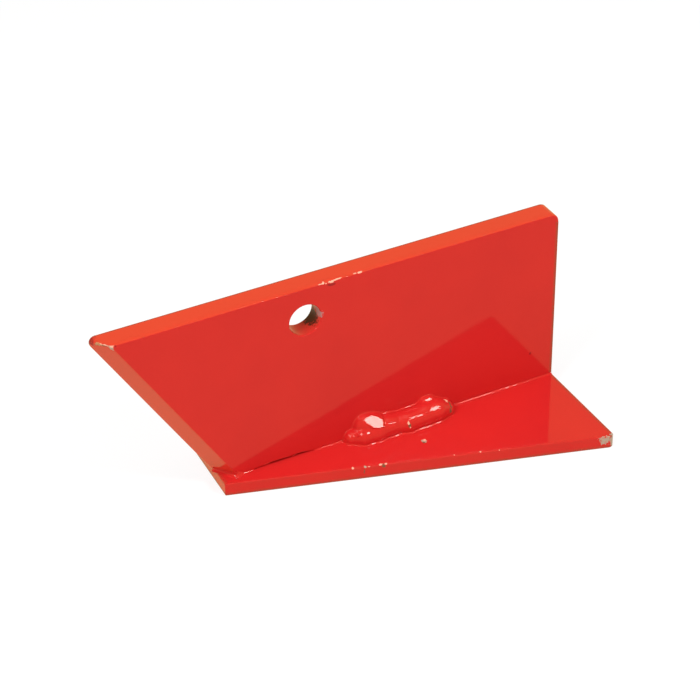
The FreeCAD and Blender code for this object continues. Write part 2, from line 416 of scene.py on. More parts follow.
@dataclass(frozen=True)
class Edge:
    """One straight side of a plate's outline.

    The inset tells how far the metal stands in from the line at each depth below the first face.
    The value before the last tells how much lighter orange lies on that edge face, partly spray and
    partly painted sheen; the last pair tells how brown its arris is near and far, partly thin paint and
    partly painted outline shade.
    """

    start: tuple[float, float]
    inset: Callable[[float], float]
    corner_round: float
    spacing: float
    spray_and_sheen: float = 0.0
    worn_and_shaded: tuple[float, float] = (1.0, 1.0)


@dataclass(frozen=True)
class Bore:
    """A round hole through a plate, as rings of radius and depth."""

    centre: tuple[float, float]
    rings: tuple[tuple[float, float], ...]
    steps: int = 80


@dataclass
class PlateLoft:
    """A plate lofted through rings at a list of depths, so that each arris is truly rounded."""

    edges: Sequence[Edge]
    depths: Sequence[float]
    place: Callable[[float, float, float], tuple[float, float, float]]
    bores: Sequence[Bore] = ()
    face_margins: tuple[tuple[float, float], ...] = ((1.3, 0.0), (0.8, 0.45), (0.35, 0.9))
    corner_steps: int = 8
    least_round: float = 0.25
    corner_lead: float = 0.35
    longest_lead: float = 0.2
    dark_edge_band: float = 0.65
    faded_band: float = 1.0
    faded_share: float = 0.6

    def ring(self, depth: float, margin: float = 0.0) -> list[tuple[float, float, int, float]]:
        """Outline of the plate at one depth.

        Args:
            depth: Millimetres below the first face.
            margin: Extra inset, for the flat rim inside each face.

        Returns:
            Points as first coordinate, second coordinate, index of the edge, and inset there.
        """
        count = len(self.edges)
        starts = [Vector(e.start) for e in self.edges]
        runs = [(starts[(i + 1) % count] - starts[i]).normalized() for i in range(count)]
        insets = [e.inset(depth) + margin for e in self.edges]
        moved = [starts[i] + Vector((-runs[i].y, runs[i].x)) * insets[i] for i in range(count)]
        arcs = []
        for i, edge in enumerate(self.edges):
            before, after = runs[i - 1], runs[i]
            span = moved[i] - moved[i - 1]
            turn_rate = before.x * after.y - before.y * after.x
            corner = moved[i - 1] + before * ((span.x * after.y - span.y * after.x) / turn_rate)
            radius = max(edge.corner_round - max(insets[i - 1], insets[i]), self.least_round)
            turn = before.angle_signed(after) * -1
            reach = radius * math.tan(abs(turn) / 2)
            centre = corner - before * reach + Vector((-before.y, before.x)) * radius
            first = math.atan2(-before.x, before.y)
            arcs.append([
                centre + Vector((math.cos(a), math.sin(a))) * radius
                for a in (first + turn * k / self.corner_steps for k in range(self.corner_steps + 1))
            ])
        points = []
        for i, edge in enumerate(self.edges):
            begin, end = arcs[i][-1], arcs[(i + 1) % count][0]
            points += [(p.x, p.y, i, insets[i]) for p in arcs[i]]
            full = (starts[(i + 1) % count] - starts[i]).length
            steps = max(int(full / edge.spacing), 2)
            lead = min(self.corner_lead / (end - begin).length, self.longest_lead)
            shares = [lead] + [k / steps for k in range(1, steps)] + [1 - lead]
            points += [(*begin.lerp(end, s), i, insets[i]) for s in shares]
        return points

    def build(
        self, worn: Callable[[Vector, int, float], Vector] | None = None
    ) -> tuple[bmesh.types.BMesh, dict[str, list[float]]]:
        """Loft the rings, bore the holes and close both faces.

        Args:
            worn: Moves a joint-frame point by its edge index and depth, for dents and wander.

        Returns:
            The bmesh in joint-frame millimetres and the attributes of its vertices.
        """
        mesh = bmesh.new()
        thin: list[float] = []
        spray_sheen: list[float] = []
        last = self.depths[-1]

        def lay(
            points: Iterable[tuple[float, float, int, float]], depth: float, on_rim: bool, share: float = 0.0
        ) -> list[bmesh.types.BMVert]:
            """Lay one ring of vertices and note how brown its edges are, partly thin paint and partly painted
            shade, and how much lighter orange its edge faces get, partly spray and partly painted sheen.

            Args:
                points: Outline points, as ring() gives them.
                depth: Millimetres below the first face.
                on_rim: True on the plate's edge, False on the flat margins inside its faces.
                share: How brown a margin is, partly thin paint and partly painted shade, from 0 to 1.

            Returns:
                The new vertices in order.
            """
            made = []
            on_end = depth in (0.0, last)
            if on_rim:
                rise = min(depth, last - depth)
                share = 1.0 if rise < self.dark_edge_band else self.faded_share if rise < self.faded_band else 0.0
            for a, b, index, _ in points:
                spot = Vector(self.place(a, b, depth))
                edge = self.edges[index]
                made.append(mesh.verts.new(worn(spot, index, depth) if worn and on_rim else spot))
                near, far = edge.worn_and_shaded
                # Edge browning per vertex: partly thin paint, partly painted outline shade.
                thin.append((near if depth < last / 2 else far) * share)
                # Lighter orange on the edge faces per vertex: partly spray, partly painted sheen.
                spray_sheen.append(edge.spray_and_sheen if on_rim and not on_end else 0.0)
            return made

        def skin(upper: list[bmesh.types.BMVert], lower: list[bmesh.types.BMVert]) -> None:
            """Join two rings of equal length with a band of faces.

            Args:
                upper: Ring nearer the first face.
                lower: Ring nearer the last face.
            """
            for k in range(len(upper)):
                following = (k + 1) % len(upper)
                mesh.faces.new((upper[k], upper[following], lower[following], lower[k]))

        inward = tuple(reversed(self.face_margins))
        rings = [lay(self.ring(0.0, inset), 0.0, False, share) for inset, share in self.face_margins]
        rings += [lay(self.ring(d), d, True) for d in self.depths]
        rings += [lay(self.ring(last, inset), last, False, share) for inset, share in inward]
        for upper, lower in zip(rings, rings[1:]):
            skin(upper, lower)
        first_face, last_face = [rings[0]], [rings[-1]]
        for bore in self.bores:
            loops = []
            for radius, depth in bore.rings:
                angles = (2 * math.pi * k / bore.steps for k in range(bore.steps))
                loops.append([
                    mesh.verts.new(self.place(
                        bore.centre[0] + radius * math.cos(a), bore.centre[1] + radius * math.sin(a), depth))
                    for a in angles
                ])
                thin.extend([0.0] * bore.steps)
                spray_sheen.extend([0.0] * bore.steps)
            for upper, lower in zip(loops, loops[1:]):
                skin(upper, lower)
            first_face.append(loops[0])
            last_face.append(loops[-1])
        for rims in (first_face, last_face):
            edges = [
                mesh.edges.get(pair) for loop in rims for pair in zip(loop, loop[1:] + loop[:1])
            ]
            bmesh.ops.triangle_fill(mesh, use_beauty=True, use_dissolve=False, edges=edges)
        mesh.verts.index_update()
        return mesh, {"worn_edge_and_shade": thin, "overspray_and_sheen": spray_sheen}


def arris(radius: float, depth: float, thickness: float, far_radius: float | None = None) -> float:
    """Inset of a square edge with rounded arrises.

    Args:
        radius: Arris radius at the first face.
        depth: Depth below the first face.
        thickness: Thickness of the plate.
        far_radius: Arris radius at the far face, where it differs.

    Returns:
        How far the edge stands in at that depth.
    """
    far = radius if far_radius is None else far_radius
    if depth < radius:
        return radius - math.sqrt(max(radius ** 2 - (radius - depth) ** 2, 0.0))
    if depth > thickness - far:
        return far - math.sqrt(max(far ** 2 - (depth - thickness + far) ** 2, 0.0))
    return 0.0


def arris_depths(
    radius: float, thickness: float, steps: int = 6, between: Sequence[float] = ()
) -> list[float]:
    """Depths of the rings of a plate, close together at both arrises.

    Args:
        radius: The largest arris radius.
        thickness: Thickness of the plate.
        steps: Rings over each arris.
        between: Depths of the rings between the arrises.

    Returns:
        Depths in rising order.
    """
    near = [radius * (1 - math.cos(math.pi / 2 * k / steps)) for k in range(steps + 1)]
    return near + list(between) + [thickness - d for d in reversed(near)]


def wander(position: float, size: float, seed: float) -> float:
    """Smooth, repeatable wandering between about -1 and 1.

    Args:
        position: Place along a line.
        size: Typical distance between crests.
        seed: Shifts the pattern.

    Returns:
        The value there.
    """
    turn = 2 * math.pi * position / size
    return (math.sin(turn + seed) + 0.7 * math.sin(1.73 * turn + 2.1 * seed)
            + 0.5 * math.sin(2.91 * turn + 3.7 * seed)) / 2.2


@dataclass
class UprightPlate:
    """The upright cutting plate with its leaning, ground nose and its bolt hole."""

    joint: JointFrame
    height: float = 80.0
    thickness: float = 10.0
    base_length: float = 148.0
    nose_lean: float = 50.0
    bevel_run: float = 7.3
    bevel_land: float = 1.5
    bevel_edge_round: float = 0.45
    land_round: float = 0.35
    nose_round: float = 2.6
    rear_round: float = 4.0
    arris: float = 0.6
    near_top_arris: float = 0.22
    seat_gap: tuple[float, float] = (-141.0, -113.0)
    seat_gap_depth: float = 0.7
    seat_gap_taper: float = 3.0
    hole_diameter: float = 14.0
    hole_from_rear: float = 116.0
    hole_below_top: float = 15.0
    hole_rim_round: float = 0.5
    hole_back_break: float = 1.2
    edge_wander: float = 0.3
    wander_depth: float = 1.2
    knocks: tuple[tuple[float, float, float], ...] = (
        (-107.4, 0.8, 0.25), (-104.2, 1.4, 0.4), (-91.4, 0.8, 0.15), (-196.8, 1.6, 0.35))

    def nose_inset(self, depth: float) -> float:
        """Inset of the ground nose at a depth: the bevel, its rounded start and end, and the land.

        Args:
            depth: Millimetres below the wing face.

        Returns:
            How far the nose stands in from its sharp outline there.
        """
        ground = self.thickness - self.bevel_land
        slant = math.hypot(self.nose_lean, self.height)
        reach = self.bevel_run * self.height / slant
        fall = reach / ground
        rounding = self.bevel_edge_round
        turn = math.atan2(ground, reach)
        lead = rounding * math.tan(turn / 2)
        soft = self.land_round
        if depth < rounding * (1 - math.cos(turn)):
            return reach + lead - math.sqrt(rounding ** 2 - (rounding - depth) ** 2)
        if depth < ground - soft:
            return reach - fall * depth
        if depth < ground + soft:
            return fall * (ground + soft - depth) ** 2 / (4 * soft)
        return arris(0.0, depth, self.thickness, self.arris)

    def loft(self) -> PlateLoft:
        """Describe the plate as a loft from its wing face to its back face.

        Returns:
            The loft, with the bolt hole.
        """
        far = -(self.base_length + self.bevel_run)
        ground = self.thickness - self.bevel_land
        centre = (-self.hole_from_rear, self.height - self.hole_below_top)
        radius = self.hole_diameter / 2
        rim = self.hole_rim_round
        swing = [math.pi / 2 * k / 5 for k in range(6)]
        front = [(radius + rim - rim * math.sin(a), rim * (1 - math.cos(a))) for a in swing]
        chamfer = self.hole_back_break
        start, wide = self.thickness - chamfer, radius + chamfer
        back = [(radius, start - 0.35), (radius + 0.04, start - 0.1), (radius + 0.16, start + 0.12),
                (wide - 0.12, self.thickness - 0.16), (wide + 0.1, self.thickness - 0.04),
                (wide + 0.3, self.thickness), (wide + 0.8, self.thickness)]
        middle = (radius, self.thickness / 2)
        rings = ((radius + rim + 0.4, 0.0), *front, (radius, rim + 0.4), middle, *back)

        def square(near: float) -> Callable[[float], float]:
            """Inset rule of a square edge with its own arris at the wing face."""
            return lambda depth: arris(near, depth, self.thickness, self.arris)

        return PlateLoft(
            edges=(
                # Each edge's last pair browns its arris at the wing face and at the back face, partly as thin
                # paint and partly as painted outline shade.
                Edge((far, 0.0), square(self.arris), 0.3, 2.0, worn_and_shaded=(0.0, 0.4)),
                Edge((0.0, 0.0), square(self.arris), 0.4, 2.5, worn_and_shaded=(1.0, 1.0)),
                # The top and nose edges get the lighter orange on their faces, partly spray and partly painted
                # sheen.
                Edge((0.0, self.height), square(self.near_top_arris), self.rear_round, 1.0, 0.6, (0.0, 1.0)),
                Edge((far - self.nose_lean, self.height), self.nose_inset, self.nose_round, 1.5, 0.35,
                     (0.0, 1.0)),
            ),
            depths=arris_depths(self.arris, self.thickness, between=(
                0.98, 2.5, 4.5, 6.5, ground - self.land_round, ground - 0.2, ground, ground + 0.2,
                ground + self.land_round, ground + 0.55)),
            place=lambda a, b, depth: (a, depth, b),
            bores=(Bore(centre, rings),),
        )

    def worn(self, spot: Vector, edge: int, depth: float) -> Vector:
        """Let the sheared top edge wander and dip where it was knocked, and open the gap under the front.

        Args:
            spot: Point of the rim in the joint frame.
            edge: Index of its edge: 0 is the base and 2 the top.
            depth: Depth below the wing face.

        Returns:
            The moved point, always inside the square edge.
        """
        if edge == 0 and depth < self.seat_gap_taper:
            first, last = self.seat_gap
            inside = max(0.0, 1 - abs((2 * spot.x - first - last) / (last - first)) ** 4)
            open_width = self.seat_gap_depth * inside * (0.8 + 0.3 * wander(spot.x, 11.0, 0.4))
            return Vector((spot.x, spot.y, spot.z + open_width * (1 - depth / self.seat_gap_taper)))
        if edge != 2 or depth > self.wander_depth:
            return spot
        near = 1.0 - depth / self.wander_depth
        dip = self.edge_wander * near * (1 + wander(spot.x, 4.6, 0.6))
        for centre, reach, deep in self.knocks:
            dip += deep * near * math.exp(-((spot.x - centre) / reach) ** 2)
        return Vector((spot.x, spot.y + 0.25 * dip, min(spot.z, self.height) - dip * 0.55))

    def build(self, finish: GlossEnamel) -> bpy.types.Object:
        """Make and dress the upright plate.

        Args:
            finish: The enamel to dress it with.

        Returns:
            The finished object.
        """
        mesh, attributes = self.loft().build(self.worn)
        for vertex in mesh.verts:
            vertex.co = self.joint.to_part(*vertex.co)
        piece = make_piece("upright_painted", mesh, attributes)
        attach(piece, "upright_plate", finish.material(self.joint))
        return piece


@dataclass
class FootPlate:
    """The tapering foot plate that the upright stands on."""

    joint: JointFrame
    thickness: float = 6.0
    length: float = 155.0
    rear_width: float = 50.0
    tip_width: float = 3.0
    back_edge: float = 30.0
    end_sweep: float = 1.5
    corner_round: float = 2.0
    arris: float = 0.6
    wing_top_arris: float = 0.3
    edge_wander: float = 0.12
    wander_depth: float = 1.0
    knocks: tuple[tuple[float, float, float], ...] = (
        (-104.8, 0.9, 0.5), (-100.6, 1.3, 0.6), (-92.6, 1.5, 0.6))

    def loft(self) -> PlateLoft:
        """Describe the plate as a loft from its top to its sole.

        Returns:
            The loft.
        """

        def square(near: float) -> Callable[[float], float]:
            """Inset rule of a square edge with its own arris at the top."""
            return lambda depth: arris(near, depth, self.thickness, self.arris)

        return PlateLoft(
            edges=(
                # Each edge's last pair browns its arris at the top and at the sole, partly as thin paint and
                # partly as painted outline shade.
                Edge((-self.length, -self.tip_width), square(self.wing_top_arris), 0.5, 1.0, worn_and_shaded=(0.1, 1.0)),
                Edge((0.0, -self.rear_width), square(self.arris), self.corner_round, 1.5, worn_and_shaded=(0.8, 0.9)),
                Edge((0.0, self.back_edge), square(self.arris), self.corner_round, 2.5, worn_and_shaded=(0.4, 0.9)),
                # The foot's end face gets the lighter orange, partly spray and partly painted sheen.
                Edge((-self.length + self.end_sweep, self.back_edge), square(self.arris), self.corner_round,
                     1.5, 0.3, (0.4, 0.9)),
            ),
            depths=arris_depths(self.arris, self.thickness, between=(0.98, 2.5, 4.0, self.thickness - 0.98)),
            place=lambda a, b, depth: (a, b, -depth),
        )

    def worn(self, spot: Vector, edge: int, depth: float) -> Vector:
        """Let the sheared wing edge wander and nick it where it was knocked.

        Args:
            spot: Point of the rim in the joint frame.
            edge: Index of its edge: 0 is the wing edge.
            depth: Depth below the top.

        Returns:
            The moved point, always inside the square edge.
        """
        if edge != 0 or depth > self.wander_depth:
            return spot
        near = 1.0 - depth / self.wander_depth
        dip = self.edge_wander * near * (1 + wander(spot.x, 9.0, 1.9))
        for centre, reach, deep in self.knocks:
            dip += deep * near * math.exp(-((spot.x - centre) / reach) ** 2)
        return Vector((spot.x, spot.y + dip * 0.5, spot.z - dip * 0.5))

    def build(self, finish: GlossEnamel) -> bpy.types.Object:
        """Make and dress the foot plate.

        Args:
            finish: The enamel to dress it with.

        Returns:
            The finished object.
        """
        mesh, attributes = self.loft().build(self.worn)
        for vertex in mesh.verts:
            vertex.co = self.joint.to_part(*vertex.co)
        piece = make_piece("foot_painted", mesh, attributes)
        attach(piece, "foot_plate", finish.material(self.joint))
        return piece


# --------------------------------------------------------------------------- welds and joint paint


class Side(Enum):
    """The two sides of the upright that are welded."""

    WING = "wing"
    BACK = "back"


@dataclass(frozen=True)
class Lobe:
    """A rounded lump of weld metal around a short axis.

    Each end is a place along the joint, across the bead, above the joint line, and a radius.  Across
    and above are measured in the bead's own frame, which is turned by 45 degrees to the plates.
    """

    start: tuple[float, float, float, float]
    end: tuple[float, float, float, float]

    def distance(self, along: np.ndarray, across: np.ndarray, above: np.ndarray) -> np.ndarray:
        """Signed distance from points to the lobe's surface.

        Args:
            along: Places along the joint.
            across: Places across the bead.
            above: Heights above the joint line.

        Returns:
            Distances in millimetres, negative inside the lobe.
        """
        a, b = np.array(self.start), np.array(self.end)
        span = b[:3] - a[:3]
        share = (along - a[0]) * span[0] + (across - a[1]) * span[1] + (above - a[2]) * span[2]
        share = np.clip(share / span.dot(span), 0.0, 1.0)
        far = np.sqrt((along - a[0] - share * span[0]) ** 2 + (across - a[1] - share * span[1]) ** 2
                      + (above - a[2] - share * span[2]) ** 2)
        return far - (a[3] + share * (b[3] - a[3]))


@dataclass(frozen=True)
class Facet:
    """A flat on the bead, where the wet enamel levelled, as a convex outline along and across.

    The corners go round anticlockwise, seen from above.
    """

    level: float
    corners: tuple[tuple[float, float], ...]
    border: float = 0.35

    def flatten(self, along: np.ndarray, across: np.ndarray, above: np.ndarray) -> np.ndarray:
        """Pull heights to the level inside the outline, with a soft border.

        Args:
            along: Places along the joint.
            across: Places across the bead.
            above: Heights above the joint line.

        Returns:
            The heights, level inside the outline.
        """
        depth = np.full(along.shape, np.inf)
        for k, (x, y) in enumerate(self.corners):
            to_x, to_y = self.corners[(k + 1) % len(self.corners)]
            run = math.hypot(to_x - x, to_y - y)
            depth = np.minimum(depth, ((to_x - x) * (across - y) - (to_y - y) * (along - x)) / run)
        share = np.clip(depth / self.border + 1.0, 0.0, 1.0)
        return above + share * share * (3 - 2 * share) * (self.level - above)


def soft_min(first: np.ndarray, second: np.ndarray, blend: np.ndarray | float) -> np.ndarray:
    """Smaller of two distances, rounded off over a blend width."""
    near = np.maximum(blend - np.abs(first - second), 0.0)
    return np.minimum(first, second) - near ** 2 / (4 * blend)


@dataclass(frozen=True)
class NosePaint:
    """The thicker paint fillet that turns round the nose, from the wing face to the foot of the bevel."""

    base_length: float = 148.0
    bevel_run: float = 7.3
    bevel_depth: float = 8.5
    nose_lean: float = 50.0
    height: float = 80.0
    lead: float = 5.0
    widths: tuple[float, float, float] = (0.5, 2.1, 1.2)
    far_share: float = 0.97
    arc_sag: float = 0.16
    straight_steps: int = 8
    turn_steps: int = 7
    arc_steps: int = 9

    def stations(self) -> list[tuple[Vector, Vector, Vector, float]]:
        """Corner point, directions up the wall and out over the foot, and width, all along the fillet.

        Returns:
            One entry for each cross-section, from the wing side round to the far end.
        """
        corner = Vector((-self.base_length, 0.0, 0.0))
        run = Vector((-self.bevel_run, self.bevel_depth, 0.0))
        slope = Vector((-self.nose_lean, 0.0, self.height)).normalized()
        along = run.normalized()
        wall = (slope - along * slope.dot(along)).normalized()
        out = Vector((-along.y, along.x, 0.0))
        first, middle, last = self.widths
        made = []
        up, outward = Vector((0.0, 0.0, 1.0)), Vector((0.0, -1.0, 0.0))
        for k in range(self.straight_steps):
            share = k / self.straight_steps
            place = corner + Vector((self.lead * (1 - share), 0.0, 0.0))
            made.append((place, up, outward, first + (middle - first) * share ** 2))
        for k in range(self.turn_steps + 1):
            share = k / self.turn_steps
            turned = up.lerp(wall, share).normalized(), outward.lerp(out, share).normalized()
            made.append((corner, *turned, middle))
        for k in range(1, self.straight_steps + 1):
            share = k / self.straight_steps
            made.append((corner + run * share * self.far_share, wall, out, middle + (last - middle) * share))
        return made

    def sweep(self, mesh: bmesh.types.BMesh) -> None:
        """Skin the fillet and close it inside the plates.

        Args:
            mesh: The bmesh that gets the fillet.
        """
        inside = Vector((0.6, 0.9, -0.6))
        loops = []
        for corner, wall, out, width in self.stations():
            high, low = corner + wall * width, corner + out * width
            middle = corner + (wall + out) * width * self.arc_sag
            points = [high + Vector((0.15, 0.3, 0.0))]
            for k in range(self.arc_steps + 1):
                t = k / self.arc_steps
                points.append(high * (1 - t) ** 2 + middle * 2 * t * (1 - t) + low * t ** 2)
            points += [low + Vector((0.0, 0.0, -0.3)), corner + inside]
            loops.append([mesh.verts.new(p) for p in points])
        for before, after in zip(loops, loops[1:]):
            for k in range(len(before)):
                following = (k + 1) % len(before)
                mesh.faces.new((before[k], before[following], after[following], after[k]))
        mesh.faces.new(loops[0])
        mesh.faces.new(loops[-1])


@dataclass
class PaintedJoint:
    """One side's weld bead with the paint that runs off it into the corner.

    The bead is the soft union of its lobes with the corner of the two plates.  The union leaves a
    concave toe all round, as wet paint does, and a thin film bridges the rest of the joint.  Film and
    puddles are given as depths at places along the joint.
    """

    joint: JointFrame
    side: Side
    lobes: tuple[Lobe, ...]
    stretches: tuple[tuple[float, float], ...]
    film: tuple[tuple[float, float], ...]
    facets: tuple[Facet, ...] = ()
    foot_puddle: tuple[tuple[float, float], ...] = ()
    wall_puddle: tuple[tuple[float, float], ...] = ()
    nose_paint: NosePaint | None = None
    plate_thickness: float = 10.0
    lobe_blend: float = 0.9
    foot_toe_blend: float = 0.5
    wall_toe_blend: float = 0.6
    film_blend: float = 0.22
    film_ripple: float = 0.05
    ripple: float = 0.02
    ripple_size: float = 5.2
    fine_step: float = 0.4
    coarse_step: float = 1.0
    end_step: float = 0.25
    rows: int = 96
    reach: float = 13.0
    probe_rows: int = 209
    march_steps: int = 40
    march_share: float = 0.95
    least_film: float = 0.004
    toe_margin: float = 0.12
    tuck: float = 0.25
    least_puddle: float = 0.01
    puddle_blend: float = 0.08

    def film_height(self, along: np.ndarray) -> np.ndarray:
        """Height of the paint film that bridges the corner, at places along the joint.

        Args:
            along: Places along the joint.

        Returns:
            Heights of the film there, in millimetres.
        """
        places, heights = zip(*self.film)
        return np.interp(along, places, heights) * (
            1 + self.film_ripple * (np.sin(1.7 * along) + np.sin(2.9 * along + 1.0)))

    def distance(self, along: np.ndarray, across: np.ndarray, above: np.ndarray) -> np.ndarray:
        """Signed distance from points to the painted surface.

        Args:
            along: Places along the joint.
            across: Places across the bead.
            above: Heights above the joint line.

        Returns:
            Distances in millimetres, negative inside metal or paint.
        """
        off_wall = (above - across) * HALF_SQRT2
        off_foot = (above + across) * HALF_SQRT2
        corner = soft_min(soft_min(off_wall, off_foot, self.film_blend), above - self.film_height(along),
                          self.film_blend)
        bead = None
        for lobe in self.lobes:
            one = lobe.distance(along, across, above)
            bead = one if bead is None else soft_min(bead, one, self.lobe_blend)
        if bead is None:
            return corner
        turn = 2 * math.pi / self.ripple_size
        bead = bead + self.ripple * (
            np.sin(turn * along + 0.5 * across) + 0.6 * np.sin(1.61 * turn * along - 0.9 * across + 1.3))
        lean = np.clip(across / 8.0 + 0.5, 0.0, 1.0)
        toe_blend = self.foot_toe_blend + lean * (self.wall_toe_blend - self.foot_toe_blend)
        return soft_min(corner, bead, toe_blend)

    def height(self, along: np.ndarray, across: np.ndarray) -> np.ndarray:
        """Height of the painted surface above the joint line, seen square to the bead.

        Args:
            along: Places along the joint.
            across: Places across the bead, same shape.

        Returns:
            Heights, which are those of the bare plates where there is no paint fillet.
        """
        floor = np.abs(across)
        above = floor + self.reach
        for _ in range(self.march_steps):
            above = above - self.march_share * self.distance(along, across, above)
        for facet in self.facets:
            above = facet.flatten(along, across, above)
        return np.maximum(above, floor)

    def puddled(
        self, place: float, across: np.ndarray, above: np.ndarray, toe: float,
        puddle: tuple[tuple[float, float], ...],
    ) -> np.ndarray:
        """Fill the toe on one side of the bead with paint that has run down and levelled.

        Args:
            place: Place along the joint.
            across: Places across the bead.
            above: Heights there.
            toe: Where the bead ends on that side, across.
            puddle: Depth of the puddle at places along the joint.

        Returns:
            The heights with the puddle.
        """
        depth = np.interp(place, *zip(*puddle)) if puddle else 0.0
        if depth <= self.least_puddle:
            return above
        pooled = -soft_min(-above, np.full(self.rows, -abs(toe) - depth), self.puddle_blend)
        return np.where(across * toe > 0, pooled, above)

    def columns(self, first: float, last: float) -> np.ndarray:
        """Places of the cross-sections of one stretch, close together at the bead.

        Args:
            first: Where the stretch starts along the joint.
            last: Where it ends.

        Returns:
            Places in rising order.
        """
        places = [first]
        while places[-1] < last - 0.05:
            here = places[-1]
            near = any(l.start[0] - 10 < here < l.end[0] + 10 for l in self.lobes)
            step = self.fine_step if near else self.coarse_step
            if min(here - first, last - here) < 1.5:
                step = self.end_step
            places.append(min(here + step, last))
        return np.array(places)

    def stretch(self, mesh: bmesh.types.BMesh, first: float, last: float) -> None:
        """Skin one unbroken stretch of bead and fillet, and close it inside the plates.

        Args:
            mesh: The bmesh that gets the stretch.
            first: Where it starts along the joint.
            last: Where it ends.
        """
        along = self.columns(first, last)
        probe = np.linspace(-self.reach, self.reach, self.probe_rows)
        grid_along, grid_across = np.meshgrid(along, probe, indexing="ij")
        film = self.height(grid_along, grid_across) - np.abs(grid_across)
        loops = []
        for k, place in enumerate(along):
            covered = probe[film[k] > self.least_film]
            inner, outer = (covered.min(), covered.max()) if len(covered) else (0.0, 0.0)
            low, high = inner - self.toe_margin, outer + self.toe_margin
            across = np.linspace(low, high, self.rows)
            above = self.height(np.full(self.rows, place), across)
            if len(covered):
                above = self.puddled(place, across, above, inner, self.foot_puddle)
                above = self.puddled(place, across, above, outer, self.wall_puddle)
            below = low - self.tuck, high + self.tuck
            points = [(below[0], abs(below[0]) - self.toe_margin), *zip(across, above),
                      (below[1], abs(below[1]) - self.toe_margin), (0.0, -0.8)]
            loops.append([mesh.verts.new(self.to_joint(place, *p)) for p in points])
        for before, after in zip(loops, loops[1:]):
            for k in range(len(before)):
                following = (k + 1) % len(before)
                mesh.faces.new((before[k], before[following], after[following], after[k]))
        mesh.faces.new(loops[0])
        mesh.faces.new(loops[-1])

    def to_joint(self, along: float, across: float, above: float) -> tuple[float, float, float]:
        """Turn a place on the bead into the joint frame; the back side is the mirror of the wing side."""
        y, z = (across - above) * HALF_SQRT2, (across + above) * HALF_SQRT2
        return (along, y, z) if self.side is Side.WING else (along, self.plate_thickness - y, z)

    def build(self, finish: GlossEnamel) -> bpy.types.Object:
        """Make and dress the painted joint of this side.

        Args:
            finish: The enamel to dress it with.

        Returns:
            The finished object.
        """
        mesh = bmesh.new()
        for first, last in self.stretches:
            self.stretch(mesh, first, last)
        if self.nose_paint:
            self.nose_paint.sweep(mesh)
        for vertex in mesh.verts:
            vertex.co = self.joint.to_part(*vertex.co)
        piece = make_piece(f"{self.side.value}_weld_painted", mesh, {})
        attach(piece, f"{self.side.value}_weld", finish.material(self.joint))
        return piece


# --------------------------------------------------------------------------- studio


@dataclass(frozen=True)
class Softbox:
    """A lamp, given by the direction it stands in and how tall and wide it looks from the share."""

    name: str
    direction: tuple[float, float, float]
    degrees: tuple[float, float]
    radiance: float
    distance: float = 1.3

    def build(self, target: Vector) -> None:
        """Hang the lamp and aim it at the share.

        Args:
            target: Point that it faces.
        """
        tall, wide = (2 * self.distance * math.tan(math.radians(d) / 2) for d in self.degrees)
        lamp = bpy.data.lights.new(self.name, "AREA")
        lamp.shape = "RECTANGLE"
        lamp.size, lamp.size_y = wide, tall
        lamp.energy = self.radiance * math.pi * tall * wide
        aim = Vector(self.direction).normalized()
        holder = bpy.data.objects.new(self.name, lamp)
        holder.location = target + aim * self.distance
        holder.rotation_mode = "QUATERNION"
        holder.rotation_quaternion = aim.to_track_quat("Z", "Y")
        bpy.context.scene.collection.objects.link(holder)


